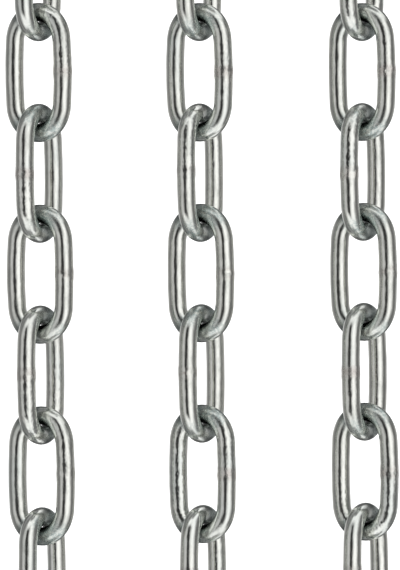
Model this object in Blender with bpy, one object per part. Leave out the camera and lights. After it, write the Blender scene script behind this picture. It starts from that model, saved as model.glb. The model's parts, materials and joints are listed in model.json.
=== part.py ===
# One metre of welded long-link chain of round steel wire, laid to and fro in three runs.
# Run as: blender --background --python part.py
# X runs across the three runs, Y runs along them, and Z is up from the floor they lie on.

import math

import bpy
import numpy as np
from mathutils import Matrix, Vector
from mathutils.geometry import intersect_line_line

MM = 0.001

# The link, as the chain maker states it
WIRE = 6.1 * MM
INNER_LENGTH = 33.3 * MM
INNER_WIDTH = 12.2 * MM

# The butt weld stands proud of the wire at the middle of one limb
WELD_HEIGHT = 0.2 * MM
WELD_LENGTH = 7.0 * MM
WELD_CROWN_LENGTH = 3.0 * MM

# Gap between the wires of two links that touch in line, and between their facets' corners at a bend
CLEARANCE = 0.45 * MM
BEND_CLEARANCE = 0.05 * MM

# How the chain lies: links in each run, each rolled over onto one limb, and two links in each turn,
# which lean off the line across the runs and lie a little flatter
RUN_LINKS = (9, 9, 8)
LINK_ROLL = math.radians(45.0)
TURN_LEANS = (math.radians(27.5), math.radians(25.2))
TURN_ROLL = math.radians(33.0)

# Faces round the wire, and straight steps round each end of a link, the two at its tip finer
WIRE_SIDES = 8
CROWN_STEPS = 10
CROWN_TIP_STEP = math.radians(12.0)

# Worked out from the sizes above
CROWN_RADIUS = (INNER_WIDTH + WIRE) / 2
LIMB_LENGTH = INNER_LENGTH - INNER_WIDTH
CROWN_REACH = LIMB_LENGTH / 2 + CROWN_RADIUS
WIRE_CORNERS = WIRE / math.cos(math.pi / WIRE_SIDES)

# Points taken round one end of a link when two wires are set against each other, an odd number
# so that one is at the tip
CROWN_SAMPLES = 81


def crown_points(end):
    """The wire's centreline round one end of a link, counter-clockwise, in the link's own plane."""
    start = 0.0 if end > 0 else math.pi
    half = CROWN_STEPS // 2
    wide_step = (math.pi / 2 - CROWN_TIP_STEP) / (half - 1)
    side = [wide_step * step for step in range(half)]
    turns = side + [math.pi / 2] + [math.pi - turn for turn in reversed(side)]
    angles = [start + turn for turn in turns]
    return [
        (CROWN_RADIUS * math.cos(angle), end * LIMB_LENGTH / 2 + CROWN_RADIUS * math.sin(angle))
        for angle in angles
    ]


def link_curve(material):
    """The wire of one link: Y along the link, X across it, with the weld on the limb at +X."""
    swell = 1 + 2 * WELD_HEIGHT / WIRE
    weld = [
        (CROWN_RADIUS, -WELD_LENGTH / 2, 1.0),
        (CROWN_RADIUS, -WELD_CROWN_LENGTH / 2, swell),
        (CROWN_RADIUS, WELD_CROWN_LENGTH / 2, swell),
        (CROWN_RADIUS, WELD_LENGTH / 2, 1.0),
    ]
    ends = [[(x, y, 1.0) for x, y in crown_points(end)] for end in (1, -1)]
    points = weld + ends[0] + ends[1]

    curve = bpy.data.curves.new("link_wire", "CURVE")
    curve.dimensions = "3D"
    curve.twist_mode = "Z_UP"
    curve.bevel_depth = WIRE_CORNERS / 2
    curve.bevel_resolution = WIRE_SIDES // 2 - 2
    curve.materials.append(material)
    spline = curve.splines.new("POLY")
    spline.points.add(len(points) - 1)
    for point, (x, y, radius) in zip(spline.points, points):
        point.co = (x, y, 0.0, 1.0)
        point.radius = radius
        # A half step of turn puts flat faces of the wire level with the floor
        point.tilt = math.pi / WIRE_SIDES
    spline.use_cyclic_u = True
    spline.use_smooth = True
    return curve


def resting_height(roll):
    """Height of a link's centre when its lower limb, a faceted bar, lies on the floor."""
    off_flat = abs(LINK_ROLL - roll)
    lowest = WIRE_CORNERS / 2 * math.cos(math.pi / WIRE_SIDES - off_flat)
    return CROWN_RADIUS * math.sin(roll) + lowest


def chain_lay():
    """Heading, roll and height of every link. A heading is the angle that its length makes with +Y."""
    level = resting_height(LINK_ROLL)
    drop = level - resting_height(TURN_ROLL)
    links = []
    way = 1
    for run, count in enumerate(RUN_LINKS):
        links += [(0.0 if way > 0 else math.pi, LINK_ROLL, level)] * count
        if run < len(TURN_LEANS):
            out, back = math.pi / 2 - TURN_LEANS[run], math.pi / 2 + TURN_LEANS[run]
            first, second = (out, back) if way > 0 else (back, out)
            # The second link of a turn lies on the floor, and the first rides up on its neighbours
            links += [(first, TURN_ROLL, level + drop), (second, TURN_ROLL, level - drop)]
        way = -way
    return links


def link_rotation(heading, roll, side):
    """Axes of a link: its width, its length and the normal of its plane, in that order."""
    up = Vector((0.0, 0.0, 1.0))
    length = Vector((math.sin(heading), math.cos(heading), 0.0))
    width = side * math.cos(roll) * up.cross(length) + math.sin(roll) * up
    return Matrix((width, length, width.cross(length))).transposed()


def in_line(first, second):
    return first.col[1].angle(second.col[1]) < math.radians(1.0)


def wire_line(rotation, centre):
    """Points along the wire's centreline of a link that is turned and placed."""
    half = LIMB_LENGTH / 2
    turn = np.linspace(0.0, math.pi, CROWN_SAMPLES)
    limb = np.linspace(-half, half, CROWN_SAMPLES // 2)
    top = np.stack([np.cos(turn), np.sin(turn)], axis=1) * CROWN_RADIUS + (0.0, half)
    side = np.stack([np.full_like(limb, CROWN_RADIUS), limb], axis=1)
    flat = np.concatenate([top, -top, side, -side])
    axes = np.array(rotation)
    return flat[:, :1] * axes[:, 0] + flat[:, 1:] * axes[:, 1] + np.array(centre)


def seat_past_bend(carrier, rotation, centre):
    """Centre of a link hooked in its carrier at a bend: where it has most room, then pulled out taut."""
    held = wire_line(*carrier)
    moves = [Vector(move) for move in ((1, 0, 0), (-1, 0, 0), (0, 1, 0), (0, -1, 0))]

    def room(place):
        apart = wire_line(rotation, place)[:, None] - held[None]
        return np.linalg.norm(apart, axis=2).min()

    best, step = room(centre), WIRE / 4
    while step > CLEARANCE / 50:
        tried = [(room(centre + step * move), centre + step * move) for move in moves]
        widest, place = max(tried, key=lambda found: found[0])
        if widest > best:
            best, centre = widest, place
        else:
            step /= 2
    pull = Vector(rotation.col[1]) + Vector(carrier[0].col[1])
    while room(centre + step * pull) > WIRE_CORNERS + BEND_CLEARANCE:
        centre = centre + step * pull
    return centre


def chain_places():
    """Rotation and centre of every link, from the free end of the first run on."""
    places = []
    for index, (heading, roll, height) in enumerate(chain_lay()):
        rotation = link_rotation(heading, roll, -1 if index % 2 == 0 else 1)
        if not places:
            places.append((rotation, Vector((0.0, 0.0, height))))
            continue
        carrier, centre = places[-1]
        reach = CROWN_REACH - (WIRE + CLEARANCE) / 2
        centre = centre + reach * (carrier.col[1] + rotation.col[1])
        centre.z = height
        if not in_line(carrier, rotation):
            centre = seat_past_bend(places[-1], rotation, centre)
        places.append((rotation, centre))
    low, high = footprint(places)
    shift = Vector((-(low[0] + high[0]) / 2, -(low[1] + high[1]) / 2, 0.0))
    return [(rotation, centre + shift) for rotation, centre in places]


def footprint(places):
    """The lowest and highest corner of all the wires' centrelines."""
    points = np.concatenate([wire_line(*place) for place in places])
    return points.min(axis=0), points.max(axis=0)


def steel_material():
    material = bpy.data.materials.new("zinc_plated_steel")
    material.use_nodes = True
    shader = material.node_tree.nodes["Principled BSDF"]
    shader.inputs["Base Color"].default_value = (0.56, 0.57, 0.56, 1.0)
    shader.inputs["Metallic"].default_value = 1.0
    shader.inputs["Roughness"].default_value = 0.28
    return material


def place_matrix(rotation, location):
    return Matrix.Translation(location) @ rotation.to_4x4()


def chain_pivots(places):
    """For each link but the middle one: the link that carries it, and the axes and place of its pivot.

    In a run the pivot's X lies along the wire at the end of the carrier. In a turn it stands upright,
    where the two links' centre lines cross in plan.
    """
    upright = Matrix(((0.0, 0.0, 1.0), (1.0, 0.0, 0.0), (0.0, 1.0, 0.0))).transposed()
    middle = len(places) // 2
    pivots = {}
    for index, (rotation, centre) in enumerate(places):
        if index == middle:
            continue
        inward = -1 if index > middle else 1
        held, held_centre = places[index + inward]
        if in_line(held, rotation):
            pivots[index] = (index + inward, held, held_centre - inward * CROWN_REACH * held.col[1])
        else:
            near = intersect_line_line(
                centre, centre + rotation.col[1], held_centre, held_centre + held.col[1]
            )
            pivots[index] = (index + inward, upright, (near[0] + near[1]) / 2)
    return pivots


def build_chain():
    chain = bpy.data.collections.new("steel_chain")
    bpy.context.scene.collection.children.link(chain)
    wire = link_curve(steel_material())
    places = chain_places()
    pivots = chain_pivots(places)
    links = [bpy.data.objects.new(f"link_{index + 1:02d}", wire) for index in range(len(places))]
    for index, (link, place) in enumerate(zip(links, places)):
        chain.objects.link(link)
        world = place_matrix(*place)
        if index not in pivots:
            link.matrix_basis = world
            continue
        # Turning the empty about its X swings the link on the end of the one that carries it
        carrier, rotation, location = pivots[index]
        pivot = bpy.data.objects.new(f"pivot_{index + 1:02d}", None)
        chain.objects.link(pivot)
        pivot.empty_display_size = WIRE
        pivot.parent = links[carrier]
        pivot_world = place_matrix(rotation, location)
        pivot.matrix_basis = place_matrix(*places[carrier]).inverted() @ pivot_world
        link.parent = pivot
        link.matrix_basis = pivot_world.inverted() @ world


def clear_scene():
    for thing in list(bpy.data.objects):
        bpy.data.objects.remove(thing, do_unlink=True)


clear_scene()
build_chain()
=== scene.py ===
import json
import math

import bmesh
import bpy
import numpy as np
from mathutils import Matrix, Vector, noise


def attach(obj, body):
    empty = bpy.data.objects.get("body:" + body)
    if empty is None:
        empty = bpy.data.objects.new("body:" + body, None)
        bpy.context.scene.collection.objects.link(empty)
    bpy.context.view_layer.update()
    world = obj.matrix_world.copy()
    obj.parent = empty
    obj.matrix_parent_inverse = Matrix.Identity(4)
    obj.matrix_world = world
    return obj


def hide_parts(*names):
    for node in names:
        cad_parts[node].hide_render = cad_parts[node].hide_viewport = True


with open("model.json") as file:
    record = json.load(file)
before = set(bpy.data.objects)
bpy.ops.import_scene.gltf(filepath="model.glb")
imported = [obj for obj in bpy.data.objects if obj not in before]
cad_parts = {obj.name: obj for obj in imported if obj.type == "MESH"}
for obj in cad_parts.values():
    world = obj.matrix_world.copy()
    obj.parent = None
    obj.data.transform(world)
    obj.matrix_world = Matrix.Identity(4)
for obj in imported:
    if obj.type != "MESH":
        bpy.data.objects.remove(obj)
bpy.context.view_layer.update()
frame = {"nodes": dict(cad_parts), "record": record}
scene = bpy.context.scene
print("frame loaded:", len(frame["nodes"]), "links")

# bright zinc: base colours, roughness, and the depth of each kind of relief in metres
zincLook = {
    "bright": (0.86, 0.865, 0.82, 1.0),
    "dull": (0.68, 0.69, 0.645, 1.0),
    "blueCast": (0.73, 0.77, 0.745, 1.0),
    "endGrey": (0.46, 0.53, 0.515, 1.0),
    # painted shade: a dark grey laid where a link's end tucks in under its neighbour
    "tuckedShadeGrey": (0.22, 0.262, 0.252, 1.0),
    # painted shade and bearing wear: near-black laid on the inside of each end, where the links
    # bear
    "bearingWearAndShadeDark": (0.10, 0.115, 0.108, 1.0),
    "weldTint": (0.69, 0.655, 0.62, 1.0),
    "roughness": (0.11, 0.24),
    "endRoughness": 0.32,
    "weldRoughness": 0.30,
    "waveDepth": 0.00022,
    "dashDepth": 0.00018,
    "drawDepth": 0.000008,
    "pitDepth": 0.000022,
    "endDepth": 0.000055,
    "weldDepth": 0.00016,
    # the height of a pattern at which a finish starts to show and is full, then how much it shows
    "masks": {
        "dull": (0.45, 0.72),
        "blueCast": (0.50, 0.72, 0.0, 0.7),
        "rubbed": (0.60, 0.42),
        "spotted": (0.44, 0.56, 0.35, 1.0),
        "shadowed": (0.40, 0.62, 1.0, 0.55),
        "rough": (0.35, 0.75),
        "toolMarked": (0.50, 0.62),
    },
    # cells of each pattern per metre along the wire and round it
    "patterns": {
        "patches": {"along": 160, "around": 320, "detail": 4.0, "roughness": 0.6},
        "clouds": {"along": 40, "around": 110, "detail": 2.0},
        "speckle": {"along": 1300, "around": 1300, "detail": 3.0, "roughness": 0.7},
        "waves": {"along": 120, "around": 240, "detail": 2.0},
        "drawLines": {"along": 260, "around": 3000, "detail": 2.0, "roughness": 0.6},
        "pits": {"along": 800, "around": 1200, "detail": 3.0, "roughness": 0.6},
        "lumps": {"along": 700, "around": 700, "detail": 2.0},
        "toolMarks": {"along": 9, "around": 9, "detail": 0.0},
        "dashes": {"along": 620, "around": 550, "detail": 1.0},
    },
}


def link(tree, fromSocket, toSocket):
    tree.links.new(fromSocket, toSocket)


def addNode(tree, kind, **values):
    node = tree.nodes.new(kind)
    for name, value in values.items():
        if name in node.inputs:
            node.inputs[name].default_value = value
        else:
            setattr(node, name, value)
    return node


def wireNoise(tree, place, along, around, detail, roughness=0.5):
    mapping = addNode(tree, "ShaderNodeMapping", Scale=(along, around, around))
    link(tree, place, mapping.inputs["Vector"])
    pattern = addNode(tree, "ShaderNodeTexNoise", Scale=1.0, Detail=detail, Roughness=roughness)
    link(tree, mapping.outputs["Vector"], pattern.inputs["Vector"])
    return pattern.outputs["Fac"]


def rangeOf(tree, value, low, high, toLow=0.0, toHigh=1.0):
    node = addNode(tree, "ShaderNodeMapRange")
    node.inputs["From Min"].default_value = low
    node.inputs["From Max"].default_value = high
    node.inputs["To Min"].default_value = toLow
    node.inputs["To Max"].default_value = toHigh
    link(tree, value, node.inputs["Value"])
    return node.outputs["Result"]


def product(tree, first, second):
    node = addNode(tree, "ShaderNodeMath", operation="MULTIPLY")
    link(tree, first, node.inputs[0])
    link(tree, second, node.inputs[1])
    return node.outputs["Value"]


def mix(tree, factor, first, second, kind="RGBA"):
    # kind is RGBA for colours and VALUE for plain numbers
    node = addNode(tree, "ShaderNodeMix", data_type="RGBA" if kind == "RGBA" else "FLOAT")
    link(tree, factor, node.inputs["Factor"])
    for name, value in (("A", first), ("B", second)):
        socket = [s for s in node.inputs if s.name == name and s.type == kind][0]
        if isinstance(value, (tuple, float)):
            socket.default_value = value
        else:
            link(tree, value, socket)
    return [s for s in node.outputs if s.type == kind][0]


def addBump(tree, height, distance, under=None):
    bump = addNode(tree, "ShaderNodeBump", Strength=1.0, Distance=distance)
    link(tree, height, bump.inputs["Height"])
    if under is not None:
        link(tree, under, bump.inputs["Normal"])
    return bump.outputs["Normal"]


def makeZinc():
    material = bpy.data.materials.new("zincPlatedSteel")
    material.use_nodes = True
    tree = material.node_tree
    shader = tree.nodes["Principled BSDF"]
    shader.inputs["Metallic"].default_value = 1.0

    def mark(name, output="Fac"):
        return addNode(tree, "ShaderNodeAttribute", attribute_name=name).outputs[output]

    place = mark("alongWire", "Vector")

    def pattern(name):
        return wireNoise(tree, place, **zincLook["patterns"][name])

    def masked(value, name):
        return rangeOf(tree, value, *zincLook["masks"][name])

    weld, ends = mark("weldMark"), mark("endWear")
    bearing, tucked = mark("bearingWearAndShade"), mark("tuckedShade")
    patches, clouds, speckle = pattern("patches"), pattern("clouds"), pattern("speckle")
    rubbed = product(tree, ends, masked(clouds, "rubbed"))
    spotted = product(tree, rubbed, masked(speckle, "spotted"))
    shadowed = product(tree, tucked, masked(speckle, "shadowed"))

    # plating: bright with dull patches and a faint blue cast, greyer and spotted at the link's
    # ends, with painted shade where the ends tuck in and bear
    colour = mix(tree, masked(patches, "dull"), zincLook["bright"], zincLook["dull"])
    for share, tone in (
        (masked(clouds, "blueCast"), "blueCast"),
        (spotted, "endGrey"),
        # painted shade, speckled, on the side of each end that tucks under the next link
        (shadowed, "tuckedShadeGrey"),
        # painted shade and bearing wear on the inside of each end
        (bearing, "bearingWearAndShadeDark"),
        (weld, "weldTint"),
    ):
        colour = mix(tree, share, colour, zincLook[tone])
    link(tree, colour, shader.inputs["Base Color"])

    rough = rangeOf(tree, patches, *zincLook["masks"]["rough"], *zincLook["roughness"])
    rough = mix(tree, spotted, rough, zincLook["endRoughness"], "VALUE")
    rough = mix(tree, weld, rough, zincLook["weldRoughness"], "VALUE")
    link(tree, rough, shader.inputs["Roughness"])

    # some links carry the marks of the bending tools, which break their reflections into dashes
    dashes = product(tree, masked(pattern("toolMarks"), "toolMarked"), pattern("dashes"))
    normal = None
    for height, depth in (
        (pattern("waves"), "waveDepth"),
        (dashes, "dashDepth"),
        (pattern("drawLines"), "drawDepth"),
        (pattern("pits"), "pitDepth"),
        (product(tree, rubbed, speckle), "endDepth"),
        (product(tree, weld, pattern("lumps")), "weldDepth"),
    ):
        normal = addBump(tree, height, zincLook[depth], normal)
    link(tree, normal, shader.inputs["Normal"])
    return material


# one link, in metres: the wire, the eye, how fine the mesh is, the weld, and how the limbs stray
linkShape = {
    "wire": 0.0061,
    "innerLength": 0.0333,
    "innerWidth": 0.0122,
    "sides": 40,
    "limbSteps": 44,
    "crownSteps": 32,
    "mergeDistance": 0.000001,
    "weldHeight": 0.00019,
    "weldLength": 0.0052,
    "weldShift": 0.0008,
    "dentDepth": 0.00004,
    "bow": 0.00045,
    "bowReach": (0.002, 0.015),
    "straightness": 0.99,
    # where wear and painted shade start and are full: past the limb, across the link, or by the
    # share of the way in
    "endWear": (0.002, 0.007),
    "bearingWearAndShade": (0.0055, 0.0085),
    "bearingInside": (0.45, 1.0),
    "tuckedShade": (0.0045, 0.0075),
    "tuckedSide": (-0.0025, 0.0005),
    # what noise changes from link to link: a middle value and the change
    "weldStrength": (0.55, 0.9),
    "faintestWeld": 0.15,
    "bead": (0.55, 0.45),
    "bowShare": (1.0, 0.6),
    # cells of noise per metre
    "rippleCells": (180, 180, 260),
    "lumpCells": (600, 700, 600),
    # where each link reads its noise: the step from one link to the next, and the row
    "shiftPlace": (3.7, 0.5),
    "strengthPlace": (5.1, 2.5),
    "rippleStep": 7.3,
    "lumpStep": 9.1,
    "weldSideBowPlace": (2.3, 9.0),
    "plainSideBowPlace": (2.3, 4.0),
    "patternStep": 0.137,
}

wireRadius = linkShape["wire"] / 2
crownRadius = (linkShape["innerWidth"] + linkShape["wire"]) / 2
halfLimb = (linkShape["innerLength"] - linkShape["innerWidth"]) / 2
wireLength = 4 * halfLimb + 2 * math.pi * crownRadius


def smoothStep(value, low, high):
    share = max(0.0, min(1.0, (value - low) / (high - low)))
    return share * share * (3.0 - 2.0 * share)


def makePiece(name, bm, material):
    mesh = bpy.data.meshes.new(name)
    bm.to_mesh(mesh)
    bm.free()
    mesh.materials.append(material)
    piece = bpy.data.objects.new(name, mesh)
    scene.collection.objects.link(piece)
    return piece


def linkPlace(node):
    # a link's own axes from its solid: width with the welded limb upwards, length, normal
    points = np.array([v.co for v in node.data.vertices], float)
    spread = np.linalg.eigh(np.cov((points - points.mean(axis=0)).T))[1]
    length, width = spread[:, 2], spread[:, 1]
    width = width if width[2] > 0 else -width
    length = length if length[np.abs(length).argmax()] > 0 else -length
    axes = np.stack([width, length, np.cross(width, length)], axis=1)
    local = points @ axes
    low, high = local.min(axis=0), local.max(axis=0)
    centre = (low + high) / 2
    centre[0] = low[0] + crownRadius + wireRadius  # the weld's bead is on the other side
    return Matrix(axes.tolist()).to_4x4(), Matrix.Translation(Vector(axes @ centre))


def wirePlace(point):
    # distance round the wire from the weld, the nearest point of its centreline, and the way out
    x, y = point.x, point.y
    if abs(y) <= halfLimb:
        line = Vector((math.copysign(crownRadius, x), y, 0.0))
        out = Vector((math.copysign(1.0, x), 0.0, 0.0))
        run = y if x > 0 else wireLength / 2 - y
    else:
        middle = Vector((0.0, math.copysign(halfLimb, y), 0.0))
        out = Vector((x, y - middle.y, 0.0)).normalized()
        line = middle + out * crownRadius
        run = math.atan2(out.y, out.x) * crownRadius + math.copysign(halfLimb, y)
    return run % wireLength, line, out


def baseLink():
    # round wire swept up one limb, over the end, down the other and back, then its marks and
    # painted shade
    bm = bmesh.new()
    start = Matrix.Translation((crownRadius, -halfLimb, 0.0)) @ Matrix.Rotation(math.pi / 2, 4, "X")
    ring = bmesh.ops.create_circle(bm, segments=linkShape["sides"], radius=wireRadius, matrix=start)
    lastRing = ring["verts"] + list({edge for vert in ring["verts"] for edge in vert.link_edges})
    for side in (1, -1):
        lastRing = bmesh.ops.spin(
            bm, geom=lastRing, cent=(0, 0, 0), axis=(0, 0, 1), angle=0.0,
            dvec=(0, side * 2 * halfLimb / linkShape["limbSteps"], 0), steps=linkShape["limbSteps"],
        )["geom_last"]
        lastRing = bmesh.ops.spin(
            bm, geom=lastRing, cent=(0, side * halfLimb, 0), axis=(0, 0, 1), angle=math.pi,
            steps=linkShape["crownSteps"],
        )["geom_last"]
    bmesh.ops.remove_doubles(bm, verts=bm.verts, dist=linkShape["mergeDistance"])
    bmesh.ops.recalc_face_normals(bm, faces=bm.faces)
    # the operators number points and faces another way in each run, so they are put in order
    for number, vert in enumerate(sorted(bm.verts, key=lambda vert: tuple(vert.co))):
        vert.index = number
    corners = {face: sorted(vert.index for vert in face.verts) for face in bm.faces}
    for number, face in enumerate(sorted(bm.faces, key=corners.get)):
        face.index = number
    bm.verts.sort()
    bm.faces.sort()
    alongWire = bm.loops.layers.float_vector.new("alongWire")
    endWear = bm.verts.layers.float.new("endWear")
    bearingWearAndShade = bm.verts.layers.float.new("bearingWearAndShade")
    tuckedShade = bm.verts.layers.float.new("tuckedShade")
    for vert in bm.verts:
        line, out = wirePlace(vert.co)[1:]
        past = abs(line.y) - halfLimb
        inside = smoothStep(-(vert.co - line).dot(out) / wireRadius, *linkShape["bearingInside"])
        under = smoothStep(-vert.co.x, *linkShape["tuckedSide"])
        vert[endWear] = smoothStep(past, *linkShape["endWear"])
        # painted shade and bearing wear: the inside of each end, past the limb
        vert[bearingWearAndShade] = smoothStep(past, *linkShape["bearingWearAndShade"]) * inside
        # painted shade: the side of each end that tucks under the next link
        vert[tuckedShade] = smoothStep(past, *linkShape["tuckedShade"]) * under
    for face in bm.faces:
        face.smooth = True
        places = [wirePlace(loop.vert.co) for loop in face.loops]
        last = max(run for run, line, out in places)
        for loop, (run, line, out) in zip(face.loops, places):
            offset = loop.vert.co - line
            if last - run > wireLength / 2:
                run += wireLength  # the face where the count starts again
            loop[alongWire] = (run, offset.dot(out), offset.z)
    mesh = bpy.data.meshes.new("baseLink")
    bm.to_mesh(mesh)
    bm.free()
    return mesh


def noiseOf(seed, place):
    step, row = place
    return noise.noise(Vector((seed * step, row, 0.0)))


def shapeLink(bm, seed, bow):
    # the weld's bead and small dents, the limbs a little closer at their ends, and its own pattern
    alongWire = bm.loops.layers.float_vector["alongWire"]
    weldMark = bm.verts.layers.float.new("weldMark")
    weldShift = linkShape["weldShift"] * noiseOf(seed, linkShape["shiftPlace"])
    strength, strengthChange = linkShape["weldStrength"]
    weldStrength = strength + strengthChange * noiseOf(seed, linkShape["strengthPlace"])
    bead, beadChange = linkShape["bead"]
    share, shareChange = linkShape["bowShare"]
    weldSideBow = bow * (share + shareChange * noiseOf(seed, linkShape["weldSideBowPlace"]))
    plainSideBow = bow * (share + shareChange * noiseOf(seed, linkShape["plainSideBowPlace"]))
    rippleX, rippleY, rippleZ = linkShape["rippleCells"]
    lumpX, lumpY, lumpZ = linkShape["lumpCells"]
    rippleStart, lumpStart = seed * linkShape["rippleStep"], seed * linkShape["lumpStep"]
    for vert in bm.verts:
        x, y, z = vert.co
        line = wirePlace(vert.co)[1]
        around = (vert.co - line).normalized()
        ripple = noise.noise(Vector((x * rippleX + rippleStart, y * rippleY, z * rippleZ)))
        lump = noise.noise(Vector((x * lumpX, y * lumpY + lumpStart, z * lumpZ)))
        near = 0.0
        if x > 0:
            near = max(0.0, 1.0 - (abs(y - weldShift) / (linkShape["weldLength"] / 2)) ** 2)
        vert[weldMark] = near * max(linkShape["faintestWeld"], min(1.0, weldStrength + lump))
        swell = linkShape["weldHeight"] * near * (bead + beadChange * lump)
        dent = linkShape["dentDepth"] * (1.0 + ripple) / 2
        sideBow = weldSideBow if line.x > 0 else plainSideBow
        draw = sideBow * line.x / crownRadius * smoothStep(abs(line.y), *linkShape["bowReach"])
        vert.co = vert.co + around * (swell - dent) - Vector((draw, 0.0, 0.0))
    for face in bm.faces:
        for loop in face.loops:
            loop[alongWire] += Vector((seed * linkShape["patternStep"], 0.0, 0.0))


def makeLink(name, base, seed, bow, place, material):
    bm = bmesh.new()
    bm.from_mesh(base)
    shapeLink(bm, seed, bow)
    turn, shift = place
    bmesh.ops.transform(bm, matrix=shift @ turn, verts=bm.verts)
    return makePiece(name, bm, material)


zinc = makeZinc()
base = baseLink()
bodyOfNode = {}
for bodyName, nodeNames in frame["record"]["behaviour"]["bodies"].items():
    for nodeName in nodeNames:
        bodyOfNode[nodeName] = bodyName
linkNames = sorted(frame["nodes"])
places = [linkPlace(frame["nodes"][nodeName]) for nodeName in linkNames]
lengthWays = [turn.to_3x3().col[1] for turn, shift in places]
for number, nodeName in enumerate(linkNames):
    beside = lengthWays[max(0, number - 1):number + 2]
    way = lengthWays[number]
    straight = all(abs(other.dot(way)) > linkShape["straightness"] for other in beside)
    bow = linkShape["bow"] if straight else 0.0  # a link at a turn needs all the room in its eye
    piece = makeLink("steel_" + nodeName, base, number + 1, bow, places[number], zinc)
    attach(piece, bodyOfNode[nodeName])
    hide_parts(nodeName)
bpy.data.meshes.remove(base)
print("links made:", len(linkNames))

# the photograph's angle: tilt is towards the left of the runs, roll is the camera's; lengths in
# metres, and the sensor's width in millimetres
photoAngle = {
    "tiltDegrees": 15.0,
    "rollDegrees": -0.44,
    "aim": (-0.0009, -0.00445, 0.0095),
    "distance": 3.0,
    "pixelsPerMetre": 3056.0,
    "frameHeight": 570,
    "sensorWidth": 36.0,
    "clipEnd": 40.0,
}
tilt = math.radians(photoAngle["tiltDegrees"])

# a pale floor, far enough down to hide no link that swings below the others
floorLook = {
    "size": 22.0,
    "drop": 0.30,
    "colour": (0.85, 0.85, 0.85, 1.0),
    "roughness": 0.9,
    "glowColour": (1.0, 1.0, 1.0, 1.0),
    "glow": 0.93,
}


def makeFloor():
    paper = bpy.data.materials.new("palePaper")
    paper.use_nodes = True
    shader = paper.node_tree.nodes["Principled BSDF"]
    shader.inputs["Base Color"].default_value = floorLook["colour"]
    shader.inputs["Roughness"].default_value = floorLook["roughness"]
    shader.inputs["Specular IOR Level"].default_value = 0.0
    shader.inputs["Emission Color"].default_value = floorLook["glowColour"]
    shader.inputs["Emission Strength"].default_value = floorLook["glow"]
    bm = bmesh.new()
    place = Matrix.Translation((0.0, 0.0, -floorLook["drop"]))
    half = floorLook["size"] / 2
    bmesh.ops.create_grid(bm, x_segments=1, y_segments=1, size=half, matrix=place)
    floor = makePiece("paleFloor", bm, paper)
    floor.visible_glossy = False  # the steel mirrors the studio's walls and lights only
    return floor


# what stands round the chain: grey by angle from the camera to the right, in degrees, the glow
# beyond the far and near ends of the runs, the darker ends of the room, and the white that the
# camera itself sees
studioLook = {
    "bands": (
        (-180, 0.80), (-145, 0.62), (-118, 0.32), (-98, 0.19), (-80, 0.22), (-64, 0.52),
        (-48, 0.64), (-37, 0.42), (-29, 0.03), (-8, 0.03), (1, 0.42), (12, 0.90), (24, 1.12),
        (40, 1.14), (53, 0.86), (66, 0.38), (77, 0.17), (96, 0.15), (118, 0.32), (145, 0.62),
        (180, 0.80),
    ),
    "farGlow": {"start": 0.66, "full": 0.84, "grey": 1.08, "side": 1.0, "lean": 0.0},
    "nearGlow": {"start": 0.52, "full": 0.72, "grey": 1.08, "side": -1.0, "lean": -0.25},
    "glowLean": 1.2,
    "glowLevel": (-0.40, -0.15),
    "endShade": {"start": 0.15, "full": 0.42, "grey": 0.13},
    "endShadeLevel": (-0.25, -0.55),
    "endWall": {"start": 0.93, "full": 0.975, "grey": 0.22},
    "backdrop": (1.0, 1.0, 1.0, 1.0),
}


def weighted(tree, value, weight, added=0.0):
    node = addNode(tree, "ShaderNodeMath", operation="MULTIPLY_ADD")
    link(tree, value, node.inputs[0])
    node.inputs[1].default_value = weight
    if isinstance(added, float):
        node.inputs[2].default_value = added
    else:
        link(tree, added, node.inputs[2])
    return node.outputs["Value"]


def shade(tree, colour, value, look, only=None):
    # goes over to the look's grey as the value rises from its start to its full
    share = rangeOf(tree, value, look["start"], look["full"])
    if only is not None:
        share = product(tree, share, only)
    grey = look["grey"]
    return mix(tree, share, colour, (grey, grey, grey, 1.0))


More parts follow.
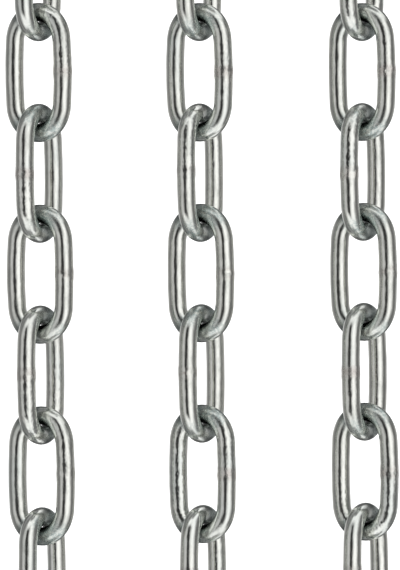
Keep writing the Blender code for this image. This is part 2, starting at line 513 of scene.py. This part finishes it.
def makeStudio():
    # a world that lights the steel and the floor: long soft lights beside the camera, dark between
    # them; the camera itself sees a plain backdrop there
    world = bpy.data.worlds.new("studio")
    world.use_nodes = True
    tree = world.node_tree
    way = addNode(tree, "ShaderNodeTexCoord").outputs["Generated"]
    turned = addNode(tree, "ShaderNodeMapping", Rotation=(0.0, tilt, 0.0))
    link(tree, way, turned.inputs["Vector"])
    parts = addNode(tree, "ShaderNodeSeparateXYZ")
    link(tree, turned.outputs["Vector"], parts.inputs["Vector"])
    right, along, height = (parts.outputs[name] for name in "XYZ")
    angle = addNode(tree, "ShaderNodeMath", operation="ARCTAN2")
    link(tree, right, angle.inputs[0])
    link(tree, height, angle.inputs[1])
    aside = addNode(tree, "ShaderNodeMath", operation="ABSOLUTE")
    link(tree, along, aside.inputs[0])
    ends = aside.outputs["Value"]

    ramp = addNode(tree, "ShaderNodeValToRGB")
    link(tree, rangeOf(tree, angle.outputs["Value"], -math.pi, math.pi), ramp.inputs["Fac"])
    stops = ramp.color_ramp.elements
    stops.remove(stops[1])
    for index, (degrees, grey) in enumerate(studioLook["bands"]):
        stop = stops[0] if index == 0 else stops.new((degrees + 180) / 360)
        stop.position = (degrees + 180) / 360
        stop.color = (grey, grey, grey, 1.0)
    colour = ramp.outputs["Color"]

    below = rangeOf(tree, height, *studioLook["endShadeLevel"])
    colour = shade(tree, colour, ends, studioLook["endShade"], below)
    front = rangeOf(
        tree, weighted(tree, right, studioLook["glowLean"], height), *studioLook["glowLevel"]
    )
    for look in (studioLook["farGlow"], studioLook["nearGlow"]):
        reach = weighted(tree, along, look["side"], weighted(tree, right, look["lean"]))
        colour = shade(tree, colour, reach, look, front)
    colour = shade(tree, colour, ends, studioLook["endWall"])
    seen = addNode(tree, "ShaderNodeLightPath").outputs["Is Camera Ray"]
    colour = mix(tree, seen, colour, studioLook["backdrop"])
    link(tree, colour, tree.nodes["Background"].inputs["Color"])
    return world


floor = makeFloor()
scene.world = makeStudio()
print("stage and studio set")

cameraData = bpy.data.cameras.new("photoCamera")
cameraData.sensor_width = photoAngle["sensorWidth"]
frameHeight = photoAngle["frameHeight"] / photoAngle["pixelsPerMetre"]
cameraData.lens = cameraData.sensor_width * photoAngle["distance"] / frameHeight
cameraData.clip_end = photoAngle["clipEnd"]
camera = bpy.data.objects.new("photoCamera", cameraData)
back = Vector((-math.sin(tilt), 0.0, math.cos(tilt)))
up = Vector((0.0, 1.0, 0.0))
looking = Matrix((up.cross(back), up, back)).transposed().to_4x4()
roll = Matrix.Rotation(math.radians(photoAngle["rollDegrees"]), 4, "Z")
spot = Vector(photoAngle["aim"]) + back * photoAngle["distance"]
camera.matrix_world = Matrix.Translation(spot) @ looking @ roll
scene.collection.objects.link(camera)
scene.camera = camera
scene.view_settings.view_transform = "Standard"
print("camera set")
